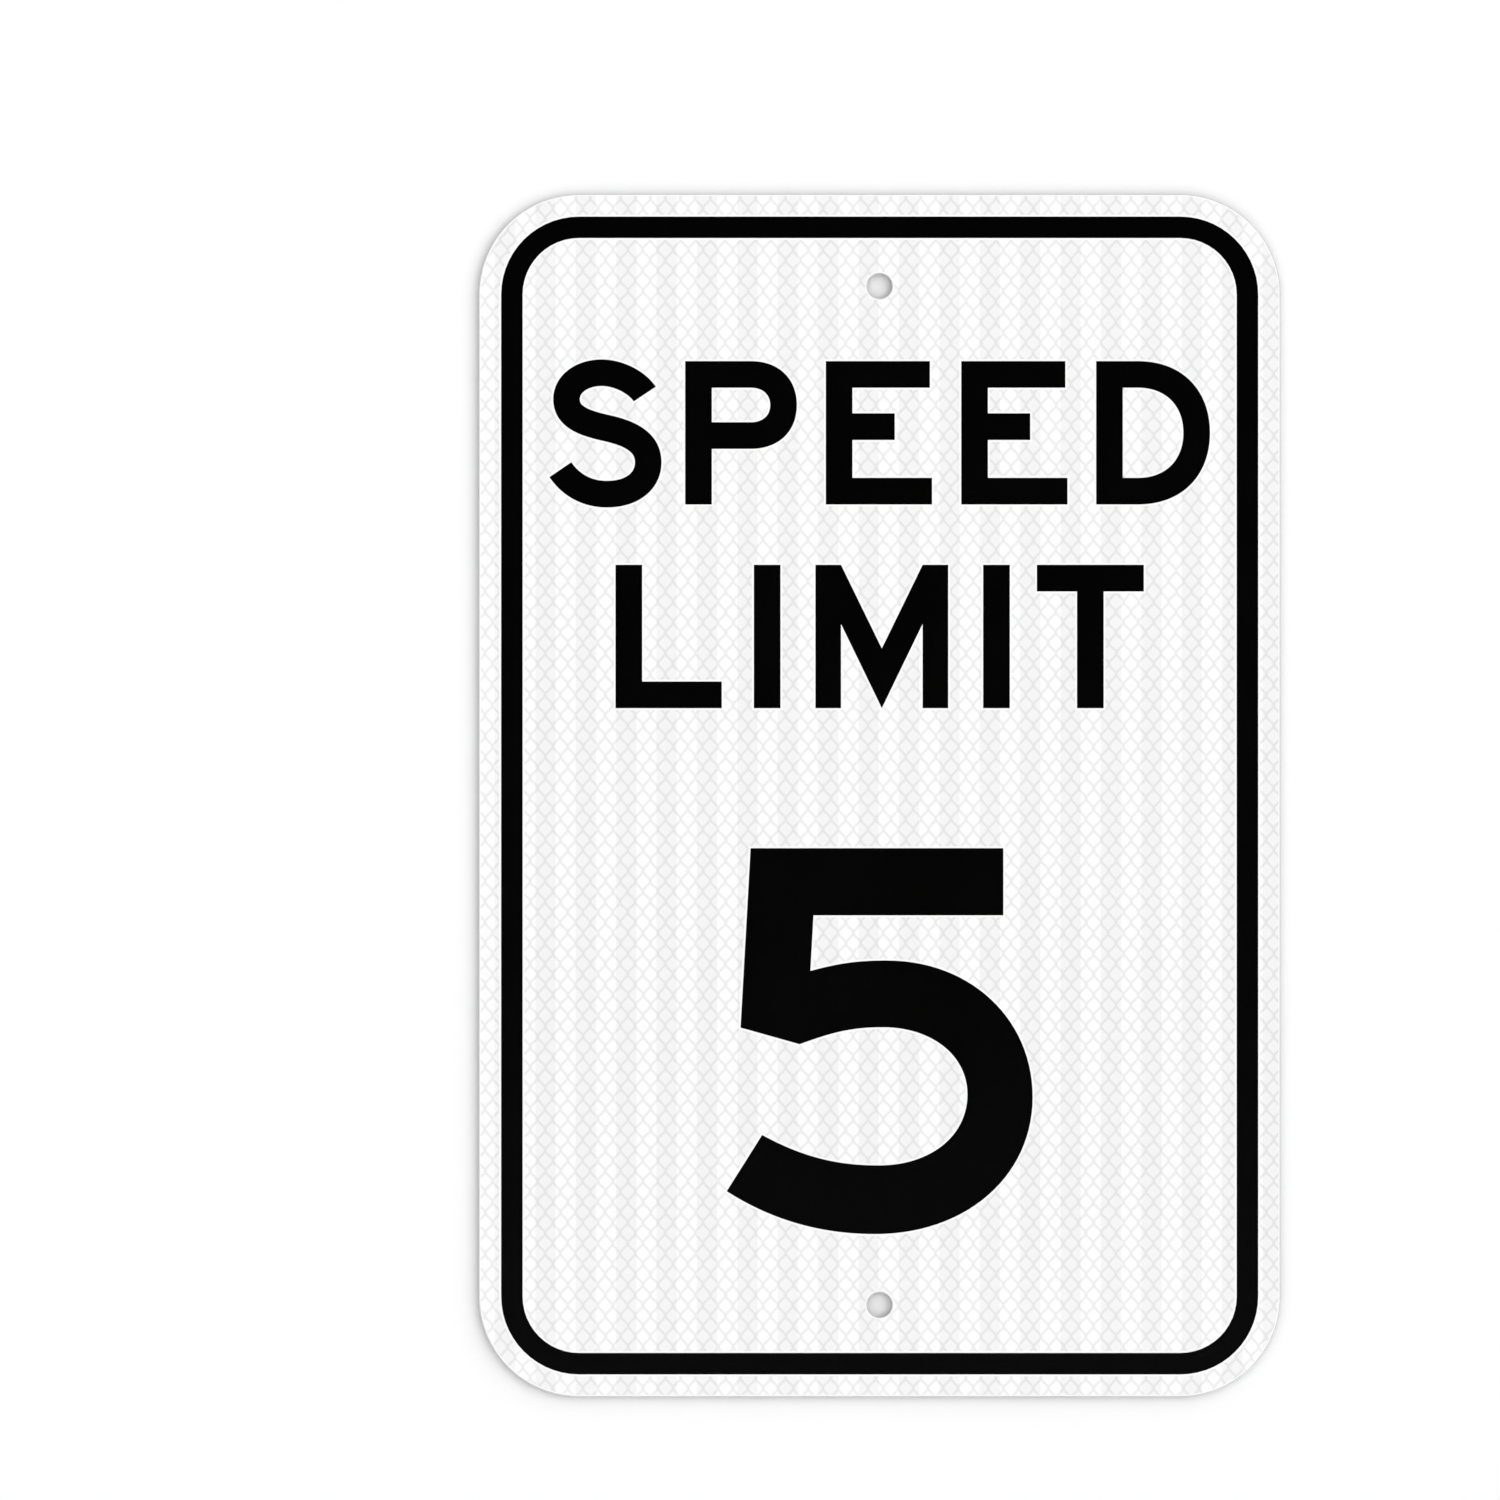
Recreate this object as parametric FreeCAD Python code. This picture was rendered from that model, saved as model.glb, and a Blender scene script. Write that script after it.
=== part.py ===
import FreeCAD, Part
import math
import os

# A speed limit sign for a post: a flat aluminium blank, the reflective film bonded over its front
# and the border printed on the film. Millimetres.
# The sign stands upright as it hangs on its post: +Z is up and the printed face looks towards -Y.
# The origin lies on the back face, midway between the two bolt holes.

INCH = 25.4

# Blank
SIGN_WIDTH = 12.0 * INCH
SIGN_HEIGHT = 18.0 * INCH
CORNER_RADIUS = 1.5 * INCH
BLANK_THICKNESS = 0.040 * INCH
EDGE_ROLL = 0.25                     # rounding that stamping leaves along the back edges

# Bolt holes, one above and one below the legend
HOLE_DIAMETER = 0.375 * INCH
HOLE_EDGE_DISTANCE = 1.375 * INCH    # from a hole's centre to the nearer end of the sign

# Reflective film
FILM_THICKNESS = 0.35

# Printed border
BORDER_MARGIN = 8.5                  # bare film between the border and the edge of the sign
BORDER_WIDTH = 8.15
INK_THICKNESS = 0.05

# Places along Y: the back face is at zero and the other layers lie in front of it
BLANK_FRONT_Y = -BLANK_THICKNESS
FILM_FRONT_Y = BLANK_FRONT_Y - FILM_THICKNESS

# Places along Z of the bolt hole centres
HOLE_HEIGHT = SIGN_HEIGHT / 2 - HOLE_EDGE_DISTANCE

FORWARD = FreeCAD.Vector(0, -1, 0)


def arc_point(centre, radius, degrees):
    """The point of a circle at an angle, anticlockwise from +X as seen from the front."""
    angle = math.radians(degrees)
    return centre + FreeCAD.Vector(radius * math.cos(angle), 0, radius * math.sin(angle))


def rounded_rectangle(width, height, radius, y):
    """A closed upright outline with round corners, centred on the Y axis, at depth y."""
    reach_x = width / 2 - radius
    reach_z = height / 2 - radius
    corner_centres = ((reach_x, reach_z), (-reach_x, reach_z), (-reach_x, -reach_z), (reach_x, -reach_z))
    arcs = []
    for number, (x, z) in enumerate(corner_centres):
        centre = FreeCAD.Vector(x, y, z)
        start, middle, end = (arc_point(centre, radius, 90 * number + turn) for turn in (0, 45, 90))
        arcs.append(Part.Arc(start, middle, end))
    edges = []
    for arc, following in zip(arcs, arcs[1:] + arcs[:1]):
        edges.append(arc.toShape())
        edges.append(Part.LineSegment(arc.EndPoint, following.StartPoint).toShape())
    return Part.Wire(edges)


def bolt_hole(z, y):
    """The outline of one bolt hole at height z."""
    circle = Part.Circle(FreeCAD.Vector(0, y, z), FORWARD, HOLE_DIAMETER / 2)
    return Part.Wire([circle.toShape()])


def layer(outlines, thickness):
    """A flat layer that grows forwards from a face: the first outline bounds it, the rest are its openings."""
    face = Part.makeFace(outlines, "Part::FaceMakerBullseye")
    return face.extrude(FORWARD * thickness)


def sign_outlines(y):
    """The sign's own outline with both bolt holes, which the blank and its film share."""
    return [
        rounded_rectangle(SIGN_WIDTH, SIGN_HEIGHT, CORNER_RADIUS, y),
        bolt_hole(HOLE_HEIGHT, y),
        bolt_hole(-HOLE_HEIGHT, y),
    ]


def make_blank():
    """Stamped sheet, its outer edge and its holes slightly rolled over at the back."""
    sheet = layer(sign_outlines(0), BLANK_THICKNESS)
    roll = min(EDGE_ROLL, BLANK_THICKNESS / 2)
    back_edges = [edge for edge in sheet.Edges if edge.BoundBox.YMin > -roll / 2]
    return sheet.makeFillet(roll, back_edges)


def make_film():
    """The film is trimmed flush with the blank all round and punched through with it."""
    return layer(sign_outlines(BLANK_FRONT_Y), FILM_THICKNESS)


def make_border():
    """A band of ink of even width that runs parallel to the edge of the sign."""
    outer_inset = BORDER_MARGIN
    inner_inset = BORDER_MARGIN + BORDER_WIDTH
    outlines = []
    for inset in (outer_inset, inner_inset):
        width = SIGN_WIDTH - 2 * inset
        height = SIGN_HEIGHT - 2 * inset
        outlines.append(rounded_rectangle(width, height, CORNER_RADIUS - inset, FILM_FRONT_Y))
    return layer(outlines, INK_THICKNESS)


def export(shape, node):
    """Write one piece as a single solid."""
    solid = shape.Solids[0]
    solid.exportStep("parts/" + node + ".step")


os.makedirs("parts", exist_ok=True)
export(make_blank(), "aluminium_blank")
export(make_film(), "reflective_film")
export(make_border(), "printed_border")
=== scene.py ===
"""Dresses a packed speed limit sign: its finishes, the printed legend and the studio round it.

The file is laid out as an add-on. Every size is in metres, in the frame's own axes: +Z is up as
the sign hangs, and the printed face looks towards -Y.
"""

import math

import bpy
import numpy as np
from bpy.props import FloatProperty, FloatVectorProperty, PointerProperty
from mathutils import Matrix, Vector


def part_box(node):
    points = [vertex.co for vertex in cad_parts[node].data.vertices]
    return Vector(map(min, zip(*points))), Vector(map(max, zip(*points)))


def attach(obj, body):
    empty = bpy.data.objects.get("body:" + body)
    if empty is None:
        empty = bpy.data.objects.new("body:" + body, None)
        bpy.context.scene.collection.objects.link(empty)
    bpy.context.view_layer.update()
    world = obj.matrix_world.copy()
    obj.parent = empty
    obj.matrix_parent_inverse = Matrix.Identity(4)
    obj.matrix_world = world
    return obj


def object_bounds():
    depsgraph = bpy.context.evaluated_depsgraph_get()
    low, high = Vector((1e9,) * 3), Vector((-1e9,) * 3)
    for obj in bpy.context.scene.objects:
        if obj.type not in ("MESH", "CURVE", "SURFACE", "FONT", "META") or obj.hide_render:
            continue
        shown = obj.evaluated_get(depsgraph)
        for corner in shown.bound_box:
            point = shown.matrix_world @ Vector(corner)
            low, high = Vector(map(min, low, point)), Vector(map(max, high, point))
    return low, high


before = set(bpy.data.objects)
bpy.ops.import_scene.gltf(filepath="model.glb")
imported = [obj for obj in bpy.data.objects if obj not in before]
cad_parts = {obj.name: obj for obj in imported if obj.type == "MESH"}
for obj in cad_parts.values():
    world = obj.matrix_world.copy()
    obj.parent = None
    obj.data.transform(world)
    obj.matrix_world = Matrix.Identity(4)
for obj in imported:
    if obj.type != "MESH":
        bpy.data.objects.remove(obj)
CAD_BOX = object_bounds()

bl_info = {
    "name": "Speed Limit Sign",
    "version": (1, 0, 0),
    "blender": (4, 5, 0),
    "location": "3D View > Sidebar > Sign",
    "description": "Finishes, printed legend and studio for a speed limit sign",
    "category": "Object",
}

MM = 0.001

# Places and sizes taken from the frame
INK_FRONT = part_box("printed_border")[0].y
FILM_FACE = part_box("printed_border")[1].y
SIGN_FOOT = CAD_BOX[0].z
HALF_WIDTH = CAD_BOX[1].x
HALF_HEIGHT = CAD_BOX[1].z
BORDER_MARGIN = HALF_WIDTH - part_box("printed_border")[1].x

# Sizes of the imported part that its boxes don't tell
CORNER_RADIUS = 38.1 * MM
BORDER_WIDTH = 8.15 * MM
HOLE_RADIUS = 4.7625 * MM
HOLE_HEIGHT = 193.675 * MM

# How finely round edges are divided, and to how many decimals two points of the print are one
ROUND_STEPS = 28
WELD_DECIMALS = 8

# Depth of the plain film strips round the legend, next to the depth of its ink
STRIP_SHARE = 0.4

# Where the film's cells and bands start from the sign's centre, as shares of a cell or a band
CELL_PHASE_ACROSS = 0.7355
CELL_PHASE_UP = 0.3645
BAND_PHASE = 0.2266

# Brightness of the film next to the brightest spot of a cell: where it is plain, where it is cut
# and darkened with painted shadow, and on the way from a cell's middle, 0, to its seam, 1
PLAIN_TONE = 0.99
# Painted shadow: the film is darkened along its cut edge and the holes' rims to stand in for the
# thin contact shade there
PAINTED_EDGE_SHADOW_TONE = 0.62
CELL_TONES = ((0.0, 0.974), (0.55, 0.992), (0.70, 1.0), (0.80, 0.923), (0.90, 0.880), (1.0, 0.826))

# The range that nearly all values of a noise fall in
NOISE_SPAN = (0.3, 0.7)


class BlankSettings(bpy.types.PropertyGroup):
    """Bare aluminium of the sheet's back and edges."""

    colour: FloatVectorProperty(
        name="Aluminium",
        description="Colour of the bare sheet",
        subtype="COLOR",
        size=4,
        min=0.0,
        max=1.0,
        default=(0.76, 0.77, 0.78, 1.0),
    )
    grain_width: FloatProperty(
        name="Grain width",
        description="Width of one line of the rolling grain",
        unit="LENGTH",
        default=0.45 * MM,
    )
    grain_length: FloatProperty(
        name="Grain length",
        description="Length of one line of the rolling grain, which runs up the sheet",
        unit="LENGTH",
        default=60 * MM,
    )
    # The edges' darkness is partly dull sheared metal and partly painted shade, which deepens the
    # shadow on the wall and inside the bolt holes
    edge_shade: FloatProperty(
        name="Edge shade",
        description="Brightness of the sheared edges and hole walls next to the sheet's faces",
        subtype="FACTOR",
        min=0.0,
        max=1.0,
        default=0.55,
    )


class FilmSettings(bpy.types.PropertyGroup):
    """Reflective film: sealed cells under a clear face, in paler and darker upright bands."""

    colour: FloatVectorProperty(
        name="Film",
        description="Colour of a cell in a pale band, at its brightest",
        subtype="COLOR",
        size=4,
        min=0.0,
        max=1.0,
        default=(0.935, 0.935, 0.935, 1.0),
    )
    cell_width: FloatProperty(
        name="Cell width",
        description="Distance from the middle of one cell to the next cell beside it",
        unit="LENGTH",
        default=5.711 * MM,
    )
    cell_height: FloatProperty(
        name="Cell height",
        description="Distance from the middle of one cell to the next cell straight above it",
        unit="LENGTH",
        default=7.870 * MM,
    )
    side_height: FloatProperty(
        name="Cell side",
        description="Height of the short upright seam between two cells that lie side by side",
        unit="LENGTH",
        default=1.03 * MM,
    )
    plain_strip: FloatProperty(
        name="Plain strip",
        description="Width of the strip without cells along the print, the holes and the edge",
        unit="LENGTH",
        default=0.75 * MM,
    )
    # Width of a darker line painted along the sign's edge and the holes' rims: painted shadow in
    # place of the thin contact shade there
    painted_edge_shadow_width: FloatProperty(
        name="Cut line",
        description="Width of the darker line where the film is cut, at the edge and the holes",
        unit="LENGTH",
        default=0.32 * MM,
    )
    band_pitch: FloatProperty(
        name="Band pitch",
        description="Distance from one pale upright band to the next",
        unit="LENGTH",
        default=15.361 * MM,
    )
    band_shade: FloatProperty(
        name="Band shade",
        description="Brightness of a dark band next to a pale one",
        subtype="FACTOR",
        min=0.0,
        max=1.0,
        default=0.928,
    )


class InkSettings(bpy.types.PropertyGroup):
    """The black ink of the border and the legend."""

    colour: FloatVectorProperty(
        name="Ink",
        description="Colour of the print",
        subtype="COLOR",
        size=4,
        min=0.0,
        max=1.0,
        default=(0.0008, 0.0008, 0.0008, 1.0),
    )


class LegendSettings(bpy.types.PropertyGroup):
    """Sizes and places of the printed words and numeral."""

    cap_height: FloatProperty(
        name="Letter height",
        description="Height of the capital letters",
        unit="LENGTH",
        default=54.5 * MM,
    )
    pen_width: FloatProperty(
        name="Letter stroke",
        description="Width of the stroke that the letters are drawn with",
        unit="LENGTH",
        default=10.12 * MM,
    )
    upper_baseline: FloatProperty(
        name="Upper word",
        description="Height of the upper word's foot above the sign's centre",
        unit="LENGTH",
        default=110.65 * MM,
    )
    lower_baseline: FloatProperty(
        name="Lower word",
        description="Height of the lower word's foot above the sign's centre",
        unit="LENGTH",
        default=33.2 * MM,
    )
    numeral_height: FloatProperty(
        name="Numeral height",
        description="Height of the numeral",
        unit="LENGTH",
        default=146.72 * MM,
    )
    numeral_baseline: FloatProperty(
        name="Numeral",
        description="Height of the numeral's foot above the sign's centre",
        unit="LENGTH",
        default=-166.75 * MM,
    )


class StudioSettings(bpy.types.PropertyGroup):
    """Floor, wall, light and camera."""

    floor_colour: FloatVectorProperty(
        name="Floor",
        description="Colour of the floor",
        subtype="COLOR",
        size=4,
        min=0.0,
        max=1.0,
        default=(0.92, 0.92, 0.92, 1.0),
    )
    wall_colour: FloatVectorProperty(
        name="Wall",
        description="Colour of the wall behind the sign",
        subtype="COLOR",
        size=4,
        min=0.0,
        max=1.0,
        default=(0.93, 0.93, 0.93, 1.0),
    )
    wall_gap: FloatProperty(
        name="Wall gap",
        description="Distance between the sign's back and the wall",
        unit="LENGTH",
        default=1.6 * MM,
    )
    floor_drop: FloatProperty(
        name="Floor drop",
        description="Distance from the sign's foot down to the floor",
        unit="LENGTH",
        default=170 * MM,
    )
    ambient: FloatProperty(
        name="Ambient light",
        description="Strength of the soft light from all sides",
        min=0.0,
        default=1.13,
    )
    lean: FloatProperty(
        name="Light from the right",
        description="How much brighter the soft light is at the right, and dimmer at the left",
        subtype="FACTOR",
        min=0.0,
        max=1.0,
        default=0.85,
    )
    key_strength: FloatProperty(
        name="Key light",
        description="Strength of the wide soft light from the right, in front of the sign",
        min=0.0,
        default=0.25,
    )
    lens: FloatProperty(
        name="Lens",
        description="Focal length of the camera",
        unit="CAMERA",
        default=200.0,
    )
    view_width: FloatProperty(
        name="View width",
        description="Width that the camera sees at the sign's face",
        unit="LENGTH",
        default=570.3 * MM,
    )
    view_centre: FloatVectorProperty(
        name="View centre",
        description="What the middle of the view falls on, right of and above the sign's centre",
        subtype="XYZ",
        unit="LENGTH",
        size=2,
        default=(-49.3 * MM, 17.3 * MM),
    )


def feed(tree, node, inputs):
    """Give inputs, by name or number, a value each or the socket that feeds them."""
    for key, value in inputs.items():
        if isinstance(value, bpy.types.NodeSocket):
            tree.links.new(value, node.inputs[key])
        else:
            node.inputs[key].default_value = value


def add_node(tree, kind, inputs=None, **settings):
    """Add one node with these inputs and settings."""
    node = tree.nodes.new(kind)
    for name, value in settings.items():
        setattr(node, name, value)
    feed(tree, node, inputs or {})
    return node


def calculate(tree, operation, *terms):
    """The result of a Math node on one to three numbers or sockets."""
    return add_node(tree, "ShaderNodeMath", dict(enumerate(terms)), operation=operation).outputs[0]


def combine(tree, operation, *terms, **named):
    """The result of a Vector Math node on vectors, with a number named Scale where it takes one."""
    inputs = {**dict(enumerate(terms)), **named}
    return add_node(tree, "ShaderNodeVectorMath", inputs, operation=operation).outputs[0]


def flat_length(tree, across, up):
    """The length of a flat vector."""
    flat = add_node(tree, "ShaderNodeCombineXYZ", {0: across, 1: up}).outputs[0]
    return add_node(tree, "ShaderNodeVectorMath", {0: flat}, operation="LENGTH").outputs["Value"]


def split(tree, vector):
    """The three sockets of a vector."""
    return add_node(tree, "ShaderNodeSeparateXYZ", {0: vector}).outputs[:3]


def remap(tree, value, source, target, smooth=False):
    """Value carried from one range to another and held inside it, straight or with soft ends."""
    limits = {"Value": value, 1: source[0], 2: source[1], 3: target[0], 4: target[1]}
    kind = "SMOOTHSTEP" if smooth else "LINEAR"
    return add_node(tree, "ShaderNodeMapRange", limits, interpolation_type=kind).outputs[0]


def within(tree, value, limit, softness):
    """1 where value is under the limit and 0 beyond it, with a change as soft as softness."""
    return remap(tree, value, (limit - softness, limit + softness), (1.0, 0.0), smooth=True)


def mix(tree, share, first, second):
    """From first, where share is 0, to second, where it is 1."""
    return add_node(tree, "ShaderNodeMix", {0: share, 2: first, 3: second}).outputs[0]


def noise(tree, place, scale, detail=2.0, output="Fac"):
    """One output of a Noise node."""
    inputs = {"Vector": place, "Scale": scale, "Detail": detail}
    return add_node(tree, "ShaderNodeTexNoise", inputs).outputs[output]


def spread(tree, noise_value, low, high):
    """A noise carried to the range from low to high."""
    return remap(tree, noise_value, NOISE_SPAN, (low, high))


def tint(tree, colour, tone):
    """A setting's colour at this brightness."""
    return combine(tree, "SCALE", colour[:3], Scale=tone)


def object_place(tree):
    """The point of the surface in the frame's own axes."""
    return add_node(tree, "ShaderNodeTexCoord").outputs["Object"]


def add_relief(tree, shader, height, depth, strength):
    """Shade a surface as if it stood this deep where height is 1."""
    inputs = {"Height": height, "Strength": strength, "Distance": depth}
    feed(tree, shader, {"Normal": add_node(tree, "ShaderNodeBump", inputs).outputs[0]})


def within_outline(tree, x, z):
    """How far a point lies inside the sign's outline, true as far in as the corner radius."""
    past = []
    for value, half_size in ((x, HALF_WIDTH), (z, HALF_HEIGHT)):
        from_middle = calculate(tree, "ABSOLUTE", value)
        beyond = calculate(tree, "SUBTRACT", from_middle, half_size - CORNER_RADIUS)
        past.append(calculate(tree, "MAXIMUM", beyond, 0.0))
    return calculate(tree, "SUBTRACT", CORNER_RADIUS, flat_length(tree, *past))


def beyond_holes(tree, x, z):
    """How far a point lies outside the nearer bolt hole."""
    height = calculate(tree, "SUBTRACT", calculate(tree, "ABSOLUTE", z), HOLE_HEIGHT)
    return calculate(tree, "SUBTRACT", flat_length(tree, x, height), HOLE_RADIUS)


def beyond_border(tree, inset):
    """How far a point that lies this far inside the outline is from the printed border."""
    from_middle = calculate(tree, "SUBTRACT", inset, BORDER_MARGIN + BORDER_WIDTH / 2)
    return calculate(tree, "SUBTRACT", calculate(tree, "ABSOLUTE", from_middle), BORDER_WIDTH / 2)


def fold(tree, value, pitch, phase):
    """Value in steps of pitch, folded: 0 in the middle of each step and 1 where two steps meet."""
    steps = calculate(tree, "SUBTRACT", calculate(tree, "DIVIDE", value, pitch), phase)
    from_middle = calculate(tree, "SUBTRACT", calculate(tree, "FRACT", steps), 0.5)
    return calculate(tree, "MULTIPLY", calculate(tree, "ABSOLUTE", from_middle), 2.0)


def new_material(name):
    """A material with an empty node tree and a Principled shader that is wired to its output."""
    material = bpy.data.materials.new(name)
    material.use_nodes = True
    tree = material.node_tree
    tree.nodes.clear()
    shader = tree.nodes.new("ShaderNodeBsdfPrincipled")
    add_node(tree, "ShaderNodeOutputMaterial", {"Surface": shader.outputs[0]})
    return material, tree, shader


def aluminium_material(settings):
    """Mill-finish sheet: a fine rolling grain, longer and fainter streaks and cloudy patches.

    The grain runs up the sheet. The sheared edges are duller and scored through the thickness, and
    darker, partly as dull metal and partly as painted shade that deepens the shadow on the wall and
    in the holes.
    """
    material, tree, shader = new_material("bare_aluminium_sheet")
    place = object_place(tree)
    width = settings.grain_width
    length = settings.grain_length

    # Marks of about this size in x, y and z
    def marks(size, detail=2.0):
        return noise(tree, combine(tree, "DIVIDE", place, size), scale=1.0, detail=detail)

    grain = marks((width, width, length), detail=3.0)
    streak = marks((12 * width, 12 * width, 4 * length))
    score = marks((width / 3, 4 * width, width / 3))
    cloud = noise(tree, place, scale=14.0, detail=3.0)

    face_tone = spread(tree, grain, 0.820, 0.940)
    face_tone = calculate(tree, "ADD", face_tone, spread(tree, streak, -0.050, 0.050))
    face_tone = calculate(tree, "ADD", face_tone, spread(tree, cloud, -0.035, 0.035))
    # Darker sideways faces: dull sheared metal, and partly painted shade that deepens the shadow on
    # the wall and in the holes
    sheared_tone_and_shade = spread(tree, score, 0.9 * settings.edge_shade, 1.1 * settings.edge_shade)
    normal = add_node(tree, "ShaderNodeTexCoord").outputs["Normal"]
    facing = calculate(tree, "ABSOLUTE", split(tree, normal)[1])
    sheared = remap(tree, facing, (0.3, 0.8), (1.0, 0.0), smooth=True)
    roughness = spread(tree, cloud, 0.30, 0.40)
    roughness = calculate(tree, "ADD", roughness, spread(tree, streak, -0.035, 0.035))
    feed(tree, shader, {
        "Base Color": tint(tree, settings.colour, mix(tree, sheared, face_tone, sheared_tone_and_shade)),
        "Roughness": calculate(tree, "MULTIPLY_ADD", sheared, 0.15, roughness),
        "Metallic": 1.0,
    })
    add_relief(tree, shader, grain, 0.012 * MM, strength=0.55)
    return material


def face_with_clear(tree, shader, place, colour, tone):
    """Film white of this tone, a little uneven, under a smooth clear face."""
    mottle = noise(tree, place, scale=38.0)
    prisms = noise(tree, place, scale=2600.0, detail=1.0)
    tone = calculate(tree, "MULTIPLY", tone, spread(tree, mottle, 0.994, 1.004))
    tone = calculate(tree, "MULTIPLY", tone, spread(tree, prisms, 0.988, 1.008))
    feed(tree, shader, {
        "Base Color": tint(tree, colour, tone),
        "Roughness": spread(tree, prisms, 0.38, 0.52),
        "Specular IOR Level": 0.25,
        "Coat Weight": 0.4,
        "Coat Roughness": 0.06,
    })


def film_material(settings):
    """White prismatic film of six-sided cells, each column half a cell higher than the one before.

    u runs from 0 in the middle of a column of cells to 1 in the middle of the next column, and v in
    the same way from row to row. With t the share of a cell's height that its upright sides take,
    the slanted seams lie where s = (v + (1 - 2t) u) / (1 - t) is 1. How far a point lies on the way
    from the middle of its cell, 0, to a seam, 1, is the greater of s and k u. In the cell beyond
    the slanted seam it is the greater of 2 - s and k (1 - u), and the smaller of both counts. k is
    a little over 1, which widens the upright seams.
    """
    material, tree, shader = new_material("white_prismatic_film")
    place = object_place(tree)

    # The lattice wanders a little from its straight lines
    wander = 0.7 * MM
    drift = noise(tree, place, scale=85.0, detail=1.0, output="Color")
    drift = combine(tree, "SUBTRACT", drift, (0.5, 0.5, 0.5))
    cell_x, _, cell_z = split(tree, combine(tree, "MULTIPLY_ADD", drift, (wander,) * 3, place))

    upright_share = settings.side_height / settings.cell_height
    widening = 1.03
    u = fold(tree, cell_x, settings.cell_width, CELL_PHASE_ACROSS)
    v = fold(tree, cell_z, settings.cell_height, CELL_PHASE_UP)
    slant = calculate(tree, "MULTIPLY_ADD", u, 1 - 2 * upright_share, v)
    slant = calculate(tree, "DIVIDE", slant, 1 - upright_share)
    to_side = calculate(tree, "MULTIPLY", u, widening)
    beyond_slant = calculate(tree, "SUBTRACT", 2.0, slant)
    beyond_side = calculate(tree, "SUBTRACT", widening, to_side)
    this_cell = calculate(tree, "MAXIMUM", slant, to_side)
    next_cell = calculate(tree, "MAXIMUM", beyond_slant, beyond_side)
    reach = calculate(tree, "MINIMUM", this_cell, next_cell)

    ramp = add_node(tree, "ShaderNodeValToRGB", {0: reach})
    stops = ramp.color_ramp.elements
    while len(stops) < len(CELL_TONES):
        stops.new(0.5)
    for stop, (position, tone) in zip(stops, CELL_TONES):
        stop.position = position
        stop.color = (tone, tone, tone, 1.0)

    # A dark band takes up half of the pitch
    x, _, z = split(tree, place)
    from_dark = fold(tree, x, settings.band_pitch, BAND_PHASE)
    dark = within(tree, from_dark, limit=0.5, softness=0.014)
    tone = calculate(tree, "MULTIPLY", ramp.outputs[0], mix(tree, dark, 1.0, settings.band_shade))

    inset = within_outline(tree, x, z)
    from_cut = calculate(tree, "MINIMUM", inset, beyond_holes(tree, x, z))
    clearance = calculate(tree, "MINIMUM", from_cut, beyond_border(tree, inset))
    plain = within(tree, clearance, settings.plain_strip, softness=0.2 * settings.plain_strip)
    # Painted shadow: a darker line along the film's cut edge and the holes' rims stands in for the
    # thin contact shade there
    cut = within(tree, from_cut, settings.painted_edge_shadow_width, softness=0.4 * settings.painted_edge_shadow_width)
    tone = mix(tree, cut, mix(tree, plain, tone, PLAIN_TONE), PAINTED_EDGE_SHADOW_TONE)
    face_with_clear(tree, shader, place, settings.colour, tone)

    # The clear face bulges over each cell and sinks towards its seam
    cushion = remap(tree, reach, (0.70, 0.98), (1.0, 0.0), smooth=True)
    add_relief(tree, shader, cushion, 0.012 * MM, strength=1.0)
    return material


def plain_film_material(settings):
    """The film's white without its cells."""
    material, tree, shader = new_material("white_plain_film")
    face_with_clear(tree, shader, object_place(tree), settings.colour, PLAIN_TONE)
    return material


def ink_material(settings):
    """Opaque black ink with a semi-gloss skin, very slightly uneven where it was laid down."""
    material, tree, shader = new_material("black_sign_ink")
    place = object_place(tree)
    skin = noise(tree, place, scale=650.0, detail=3.0)
    patch = noise(tree, place, scale=22.0)
    feed(tree, shader, {
        "Base Color": tint(tree, settings.colour, spread(tree, patch, 0.85, 1.2)),
        "Roughness": spread(tree, patch, 0.18, 0.25),
        "Specular IOR Level": 0.05,
    })
    add_relief(tree, shader, skin, 0.01 * MM, strength=0.5)
    return material


def shared_plain_film():
    """The one plain film of the strips round the legend."""
    made = bpy.data.materials.get("white_plain_film")
    return made or plain_film_material(bpy.context.scene.sign_film)


def shared_ink():
    """The one ink of the border and the legend."""
    return bpy.data.materials.get("black_sign_ink") or ink_material(bpy.context.scene.sign_ink)


def dress(node_name, material):
    """Give a frame node's material slots this finish."""
    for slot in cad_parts[node_name].material_slots:
        slot.material = material


def block(xs, zs):
    """A flat patch with upright sides: the grid of every x with every z."""
    return np.stack(np.meshgrid(xs, zs), axis=-1)


def curve(knots, fullness, first_steps=ROUND_STEPS):
    """Points along a smooth line through knots of (x, z, heading in degrees).

    A stretch from A to B is the cubic (1-s)^3 A + 3 (1-s)^2 s A' + 3 (1-s) s^2 B' + s^3 B. A' lies
    ahead of A along A's heading and B' behind B along B's, each by the stretch's fullness times
    its reach along that heading.
    """
    knots = np.array(knots, float)
    turns = np.radians(knots[:, 2])
    headings = np.column_stack([np.cos(turns), np.sin(turns)])
    line = []
    for i, share in enumerate(fullness):
        start, end = knots[i:i + 2, :2]
        leave, meet = headings[i:i + 2]
        handle_out = start + leave * share * abs((end - start) @ leave)
        handle_in = end - meet * share * abs((end - start) @ meet)
        steps = first_steps if i == 0 else ROUND_STEPS
        s = (np.arange(steps) / steps)[:, None]
        line.append((1 - s) ** 3 * start + 3 * (1 - s) ** 2 * s * handle_out
                    + 3 * (1 - s) * s ** 2 * handle_in + s ** 3 * end)
    line.append(knots[-1:, :2])
    return np.concatenate(line)


def straight(start, end, steps=1):
    """Even points from start to end."""
    return np.linspace(start, end, steps + 1)


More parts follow.
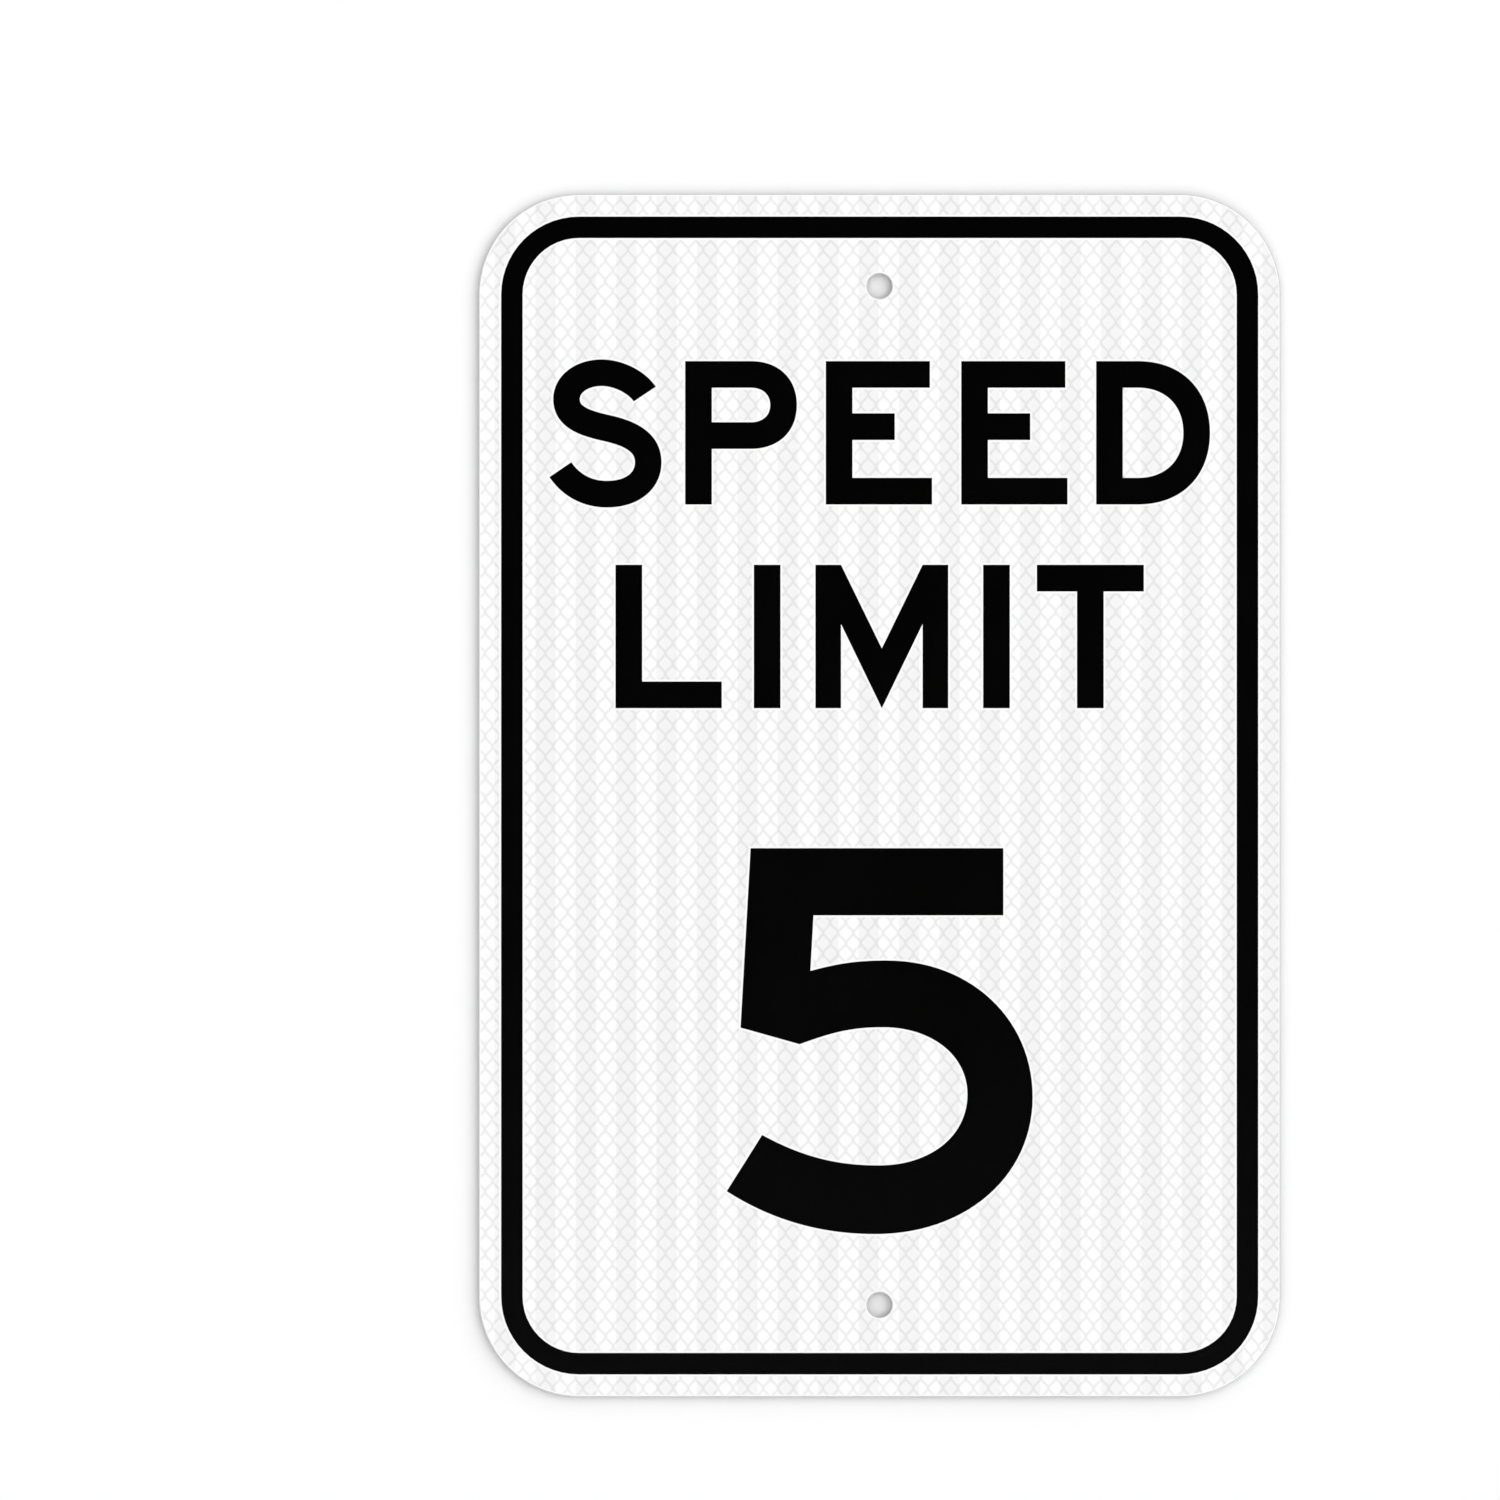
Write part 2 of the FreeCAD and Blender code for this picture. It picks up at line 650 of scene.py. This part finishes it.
def ruled(near, far):
    """The flat patch (1-v) near(u) + v far(u) between two edges that have equally many points."""
    return np.stack([near, far])


def stroke(line, width):
    """The patch that a pen of even width leaves: the line carried half a width to either side."""
    along = np.gradient(line, axis=0, edge_order=2)
    along /= np.linalg.norm(along, axis=1)[:, None]
    aside = np.column_stack([-along[:, 1], along[:, 0]]) * width / 2
    return ruled(line + aside, line - aside)


# The letters are drawn in units of the capitals' height, from their lower left corner, with a pen
# of the given width. Two have a foot of the same reach, and two have a bowl of the same fullness.
FOOT_REACH = 0.741
BOWL_FULLNESS = 0.605


def letter_s(pen):
    """One stroke that turns left, down, right and back left, cut square at both ends."""
    knots = (
        (0.664, 0.770, 123.8),
        (0.364, 0.919, 180),
        (0.118, 0.735, 270),
        (0.397, 0.533, -12.3),
        (0.688, 0.294, 270),
        (0.400, 0.072, 180),
        (0.075, 0.243, 124.4),
    )
    return [stroke(curve(knots, (0.365, 0.57, 0.57, 0.553, 0.60, 0.415)), pen)]


def bowl(pen, foot, turn_x, reach):
    """A round stroke from the top of a stem over to the right and back to it at height foot."""
    middle = (1 + foot) / 2
    edges = []
    for inset in (0, pen):
        knots = (
            (pen, 1 - inset, 0),
            (turn_x, 1 - inset, 0),
            (reach - inset, middle, -90),
            (turn_x, foot + inset, 180),
            (pen, foot + inset, 180),
        )
        edges.append(curve(knots, (1 / 3, BOWL_FULLNESS, BOWL_FULLNESS, 1 / 3)))
    return ruled(*edges)


def letter_p(pen):
    """Stem with a bowl on its upper part."""
    foot = 0.388
    stem = block((0, pen), (0, foot, foot + pen, 1 - pen, 1))
    return [stem, bowl(pen, foot, turn_x=0.459, reach=0.779)]


def letter_d(pen):
    """Stem with a bowl over its whole height."""
    return [block((0, pen), (0, pen, 1 - pen, 1)), bowl(pen, 0, turn_x=0.293, reach=0.794)]


def letter_e(pen):
    """Stem with three arms, the middle one short."""
    middle = 0.450
    middle_reach = 0.481
    top_reach = 0.726
    return [
        block((0, pen), (0, pen, middle, middle + pen, 1 - pen, 1)),
        block((pen, FOOT_REACH), (0, pen)),
        block((pen, middle_reach), (middle, middle + pen)),
        block((pen, top_reach), (1 - pen, 1)),
    ]


def letter_l(pen):
    """Stem with a foot."""
    return [block((0, pen), (0, pen, 1)), block((pen, FOOT_REACH), (0, pen))]


def letter_i(pen):
    """Stem."""
    return [block((0, pen), (0, 1))]


def letter_m(pen):
    """Two slightly slimmer legs and two slanting strokes that meet in a point on the baseline."""
    width = 0.926
    leg = 0.96 * pen
    upper_notch = 0.417
    leg_notch = 0.588
    middle = width / 2
    patches = [block((0, leg), (0, leg_notch, 1)), block((width - leg, width), (0, leg_notch, 1))]
    for inner in (leg, width - leg):
        patches.append(ruled(straight((inner, 1), (middle, upper_notch)),
                             straight((inner, leg_notch), (middle, 0))))
    return patches


def letter_t(pen):
    """Bar on a stem."""
    width = 0.746
    left = (width - pen) / 2
    bar = block((0, left, left + pen, width), (1 - pen, 1))
    return [bar, block((left, left + pen), (0, 1 - pen))]


# How each letter is drawn, and the room that it keeps on its left and on its right
LETTERS = {
    "S": (letter_s, 0.044, 0.044),
    "P": (letter_p, 0.121, 0.081),
    "E": (letter_e, 0.121, 0.083),
    "D": (letter_d, 0.117, 0.044),
    "L": (letter_l, 0.121, 0.103),
    "I": (letter_i, 0.121, 0.121),
    "M": (letter_m, 0.123, 0.123),
    "T": (letter_t, 0.068, 0.068),
}


def numeral_five():
    """The numeral 5 in units of its own height: a bar, a leaning stem and a bowl."""
    bar_end, bar_under = (0.717, 1.0), (0.717, 0.826)
    shoulder, armpit = (0.062, 1.0), (0.225, 0.826)
    heel, notch = (0.036, 0.535), (0.189, 0.492)
    bowl_start = (0.217, 0.682)
    notch_steps = 6
    outer_knots = (
        (*bowl_start, 15.2),
        (0.415, 0.709, 0),
        (0.793, 0.355, -90),
        (0.385, 0.000, 180),
        (0.000, 0.111, 147.4),
    )
    inner_knots = (
        (*notch, 19.9),
        (0.405, 0.536, 0),
        (0.624, 0.362, -90),
        (0.394, 0.178, 180),
        (0.092, 0.257, 151.5),
    )
    outer = curve(outer_knots, (0.385, 0.573, 0.577, 0.363))
    inner = curve(inner_knots, (0.394, 0.579, 0.584, 0.377), first_steps=ROUND_STEPS - notch_steps)
    return [
        ruled(straight(bar_end, shoulder), straight(bar_under, armpit)),
        ruled(straight(shoulder, heel), straight(armpit, bowl_start)),
        ruled(straight(heel, notch, notch_steps), outer[:notch_steps + 1]),
        ruled(inner, outer[notch_steps:]),
    ]


def extent(patches):
    """Lowest and highest x of a set of patches."""
    xs = np.concatenate([patch[..., 0].ravel() for patch in patches])
    return xs.min(), xs.max()


def set_in_line(text, pen):
    """The letters of a word side by side, in units of the capitals' height."""
    patches = []
    edge = 0.0
    for letter in text:
        draw, room_left, room_right = LETTERS[letter]
        drawn = draw(pen)
        patches += [patch + (edge + room_left, 0) for patch in drawn]
        edge += room_left + extent(drawn)[1] + room_right
    return patches


def placed(patches, height, baseline):
    """Patches brought to their real height, centred on the sign and stood on a baseline."""
    shift = -height * sum(extent(patches)) / 2
    return [patch * height + (shift, baseline) for patch in patches]


def join(patches):
    """Points and faces of flat patches that meet edge to edge, and the ends of the outline's edges.

    Equal points of neighbouring patches become one. An edge that only one face uses lies on the
    outline, with the patches on its left as seen from the front.
    """
    quads = [
        np.stack([patch[:-1, :-1], patch[:-1, 1:], patch[1:, 1:], patch[1:, :-1]], axis=2)
        for patch in patches
    ]
    corners = np.concatenate([quad.reshape(-1, 4, 2) for quad in quads])
    following = np.roll(corners, -1, axis=1)
    turn = (corners[..., 0] * following[..., 1] - following[..., 0] * corners[..., 1]).sum(axis=1)
    corners = np.where(turn[:, None, None] < 0, corners[:, ::-1], corners)
    rounded = corners.reshape(-1, 2).round(WELD_DECIMALS)
    points, faces = np.unique(rounded, axis=0, return_inverse=True)
    faces = faces.reshape(-1, 4)
    count = len(points)
    edges = np.stack([faces, np.roll(faces, -1, axis=1)], axis=-1).reshape(-1, 2)
    one_way = edges[:, 0] * count + edges[:, 1]
    other_way = edges[:, 1] * count + edges[:, 0]
    start, end = edges[~np.isin(one_way, other_way)].T
    return points, faces, start, end


def at_depth(points, depth):
    """Flat points brought to a depth of the frame."""
    return np.column_stack([points[:, 0], np.full(len(points), depth), points[:, 1]])


def add_mesh(name, points, faces, material):
    """An object with one mesh and one material, in the scene."""
    mesh = bpy.data.meshes.new(name)
    mesh.from_pydata(points, [], faces)
    mesh.materials.append(material)
    thing = bpy.data.objects.new(name, mesh)
    bpy.context.scene.collection.objects.link(thing)
    return thing


def add_piece(name, points, faces, material):
    """A mesh of the visual model that moves with the sign."""
    piece = add_mesh(name, points, faces, material)
    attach(piece, "root")


def print_layer(name, patches):
    """A thin closed layer of ink: the patches in front and behind, walled along their outline."""
    points, faces, start, end = join(patches)
    count = len(points)
    walls = np.column_stack([end, start, start + count, end + count])
    layers = np.concatenate([at_depth(points, INK_FRONT), at_depth(points, FILM_FACE)])
    skin = np.concatenate([faces, faces[:, ::-1] + count, walls])
    add_piece(name, layers, skin, shared_ink())


def print_margin(name, patches, width):
    """A plain strip of film of even width that runs round flat patches.

    Each point of the outline is carried outwards by 2 w n / |n|^2, where w is the width and n the
    sum of the outward normals of the two edges that meet in it. Four rings, inner and outer, in
    front and behind, close the strip.
    """
    points, _, start, end = join(patches)
    along = points[end] - points[start]
    along /= np.linalg.norm(along, axis=1)[:, None]
    outwards = np.column_stack([along[:, 1], -along[:, 0]])
    summed = np.zeros_like(points)
    np.add.at(summed, start, outwards)
    np.add.at(summed, end, outwards)
    rim = np.unique(start)
    inner = points[rim]
    outer = inner + 2 * width * summed[rim] / (summed[rim] ** 2).sum(axis=1)[:, None]
    front = FILM_FACE + STRIP_SHARE * (INK_FRONT - FILM_FACE)
    rings = ((inner, front), (outer, front), (outer, FILM_FACE), (inner, FILM_FACE))

    count = len(rim)
    start, end = np.searchsorted(rim, start), np.searchsorted(rim, end)
    faces = []
    for ring in range(len(rings)):
        near, far = ring * count, (ring + 1) % len(rings) * count
        faces.append(np.column_stack([end + near, start + near, start + far, end + far]))
    strip = np.concatenate([at_depth(*ring) for ring in rings])
    add_piece(name, strip, np.concatenate(faces), shared_plain_film())


def print_legend(name, patches, strip_width):
    """One part of the legend in ink, with the plain strip round it."""
    print_layer(name, patches)
    print_margin(name + "_margin", patches, strip_width)


def floor_material(settings):
    """Matt pale paint."""
    material, tree, shader = new_material("pale_floor")
    mottle = noise(tree, object_place(tree), scale=9.0)
    feed(tree, shader, {
        "Base Color": tint(tree, settings.floor_colour, spread(tree, mottle, 0.992, 1.0)),
        "Roughness": 0.9,
        "Specular IOR Level": 0.1,
    })
    return material


def wall_material(settings):
    """Matt pale paint that is there only from the front, for the camera and for scattered light.

    It carries the sign's shadow in front views, and neither hides nor darkens the sign's back.
    """
    material, tree, shader = new_material("pale_wall")
    feed(tree, shader, {
        "Base Color": settings.wall_colour,
        "Roughness": 0.9,
        "Specular IOR Level": 0.0,
    })
    path = add_node(tree, "ShaderNodeLightPath").outputs
    scattered = calculate(tree, "MINIMUM", path["Diffuse Depth"], 1.0)
    seen = calculate(tree, "MAXIMUM", path["Is Camera Ray"], scattered)
    backfacing = add_node(tree, "ShaderNodeNewGeometry").outputs["Backfacing"]
    shown = calculate(tree, "MULTIPLY", seen, calculate(tree, "SUBTRACT", 1.0, backfacing))
    clear = add_node(tree, "ShaderNodeBsdfTransparent").outputs[0]
    surface = add_node(tree, "ShaderNodeMixShader", {0: shown, 1: clear, 2: shader.outputs[0]})
    feed(tree, tree.nodes["Material Output"], {"Surface": surface.outputs[0]})
    return material


def studio_world(settings):
    """Soft light from all sides, more of it from the right.

    The camera and glass see plain white, and metal mirrors a white room that is dim on the
    camera's side and a little darker below.
    """
    world = bpy.data.worlds.new("studio")
    world.use_nodes = True
    tree = world.node_tree
    tree.nodes.clear()
    path = add_node(tree, "ShaderNodeLightPath").outputs
    right, back, up = split(tree, add_node(tree, "ShaderNodeTexCoord").outputs["Generated"])
    ambient = settings.ambient
    soft = calculate(tree, "MULTIPLY_ADD", right, ambient * settings.lean, ambient)
    front_to_back = remap(tree, back, (-0.6, 0.2), (0.04, 1.0), smooth=True)
    foot_to_top = remap(tree, up, (-0.3, 0.7), (0.72, 1.0), smooth=True)
    mirrored = calculate(tree, "MULTIPLY", front_to_back, foot_to_top)
    seen = calculate(tree, "MAXIMUM", path["Is Camera Ray"], path["Is Transmission Ray"])
    strength = mix(tree, seen, mix(tree, path["Is Glossy Ray"], soft, mirrored), 1.0)
    background = add_node(tree, "ShaderNodeBackground", {0: (1, 1, 1, 1), 1: strength})
    add_node(tree, "ShaderNodeOutputWorld", {0: background.outputs[0]})
    world.cycles.sampling_method = "NONE"
    return world


def add_floor_and_wall(settings):
    """A floor under the sign, and a wall that rises from it behind the sign."""
    reach = 4.0
    one_face = [(0, 1, 2, 3)]
    floor_z = SIGN_FOOT - settings.floor_drop
    floor_corners = [(-reach, -reach, floor_z), (reach, -reach, floor_z),
                     (reach, reach, floor_z), (-reach, reach, floor_z)]
    wall_y = settings.wall_gap
    wall_corners = [(-reach, wall_y, floor_z), (reach, wall_y, floor_z),
                    (reach, wall_y, reach), (-reach, wall_y, reach)]
    add_mesh("floor", floor_corners, one_face, floor_material(settings))
    add_mesh("wall", wall_corners, one_face, wall_material(settings))


def add_key_light(settings):
    """A wide, distant soft light from the right, in front of the sign."""
    light = bpy.data.lights.new("key_light", "SUN")
    light.angle = math.radians(40)
    light.energy = settings.key_strength
    lamp = bpy.data.objects.new("key_light", light)
    lamp.location = (1.4, -1.5, 0.1)
    lamp.rotation_euler = (-lamp.location).to_track_quat("-Z", "Y").to_euler()
    bpy.context.scene.collection.objects.link(lamp)


def add_camera(settings):
    """A camera square on to the sign's face, from where it takes in the view's width."""
    data = bpy.data.cameras.new("camera")
    data.lens = settings.lens
    distance = settings.view_width * data.lens / data.sensor_width
    camera = bpy.data.objects.new("camera", data)
    x, z = settings.view_centre
    camera.location = (x, FILM_FACE - distance, z)
    camera.rotation_euler = (math.pi / 2, 0, 0)
    bpy.context.scene.collection.objects.link(camera)
    bpy.context.scene.camera = camera


class SIGN_OT_finish_blank(bpy.types.Operator):
    """Give the sheet its bare aluminium finish"""

    bl_idname = "sign.finish_blank"
    bl_label = "Finish the blank"

    def execute(self, context):
        dress("aluminium_blank", aluminium_material(context.scene.sign_blank))
        return {"FINISHED"}


class SIGN_OT_finish_film(bpy.types.Operator):
    """Give the film its cells and bands"""

    bl_idname = "sign.finish_film"
    bl_label = "Finish the film"

    def execute(self, context):
        dress("reflective_film", film_material(context.scene.sign_film))
        return {"FINISHED"}


class SIGN_OT_finish_border(bpy.types.Operator):
    """Give the printed border its ink"""

    bl_idname = "sign.finish_border"
    bl_label = "Finish the border"

    def execute(self, context):
        dress("printed_border", shared_ink())
        return {"FINISHED"}


class SIGN_OT_print_words(bpy.types.Operator):
    """Print the two words"""

    bl_idname = "sign.print_words"
    bl_label = "Print the words"

    def execute(self, context):
        legend = context.scene.sign_legend
        pen = legend.pen_width / legend.cap_height
        lines = (
            ("legend_upper_word", "SPEED", legend.upper_baseline),
            ("legend_lower_word", "LIMIT", legend.lower_baseline),
        )
        for name, text, baseline in lines:
            patches = placed(set_in_line(text, pen), legend.cap_height, baseline)
            print_legend(name, patches, context.scene.sign_film.plain_strip)
        return {"FINISHED"}


class SIGN_OT_print_numeral(bpy.types.Operator):
    """Print the numeral"""

    bl_idname = "sign.print_numeral"
    bl_label = "Print the numeral"

    def execute(self, context):
        legend = context.scene.sign_legend
        patches = placed(numeral_five(), legend.numeral_height, legend.numeral_baseline)
        print_legend("legend_numeral", patches, context.scene.sign_film.plain_strip)
        return {"FINISHED"}


class SIGN_OT_set_up_studio(bpy.types.Operator):
    """Set up the floor, the wall, the light and the camera"""

    bl_idname = "sign.set_up_studio"
    bl_label = "Set up the studio"

    def execute(self, context):
        scene = context.scene
        studio = scene.sign_studio
        add_floor_and_wall(studio)
        scene.world = studio_world(studio)
        scene.view_settings.view_transform = "Standard"
        add_key_light(studio)
        add_camera(studio)
        return {"FINISHED"}


class SIGN_PT_sidebar(bpy.types.Panel):
    """Sizes, colours and steps of the sign"""

    bl_idname = "SIGN_PT_sidebar"
    bl_label = "Speed limit sign"
    bl_space_type = "VIEW_3D"
    bl_region_type = "UI"
    bl_category = "Sign"

    def draw(self, context):
        for title, group_name, operators in STEPS:
            box = self.layout.box()
            box.label(text=title)
            group = getattr(context.scene, group_name)
            for setting in group.__annotations__:
                box.prop(group, setting)
            for operator in operators:
                box.operator(operator.bl_idname)


SETTINGS = {
    "sign_blank": BlankSettings,
    "sign_film": FilmSettings,
    "sign_ink": InkSettings,
    "sign_legend": LegendSettings,
    "sign_studio": StudioSettings,
}

# The panel's boxes from top to bottom: a title, the settings and the operators
STEPS = (
    ("Blank", "sign_blank", (SIGN_OT_finish_blank,)),
    ("Film", "sign_film", (SIGN_OT_finish_film,)),
    ("Ink", "sign_ink", (SIGN_OT_finish_border,)),
    ("Legend", "sign_legend", (SIGN_OT_print_words, SIGN_OT_print_numeral)),
    ("Studio", "sign_studio", (SIGN_OT_set_up_studio,)),
)

OPERATORS = [operator for _, _, operators in STEPS for operator in operators]


def register():
    """Register every class and hang the settings on the scene."""
    for group_name, group in SETTINGS.items():
        bpy.utils.register_class(group)
        setattr(bpy.types.Scene, group_name, PointerProperty(type=group))
    for operator in OPERATORS:
        bpy.utils.register_class(operator)
    bpy.utils.register_class(SIGN_PT_sidebar)


def unregister():
    """Undo register in the opposite order."""
    bpy.utils.unregister_class(SIGN_PT_sidebar)
    for operator in reversed(OPERATORS):
        bpy.utils.unregister_class(operator)
    for group_name, group in reversed(SETTINGS.items()):
        delattr(bpy.types.Scene, group_name)
        bpy.utils.unregister_class(group)


def main():
    """Run every step in order."""
    register()
    bpy.ops.sign.finish_blank()
    bpy.ops.sign.finish_film()
    bpy.ops.sign.finish_border()
    bpy.ops.sign.print_words()
    bpy.ops.sign.print_numeral()
    bpy.ops.sign.set_up_studio()


if __name__ == "__main__":
    main()
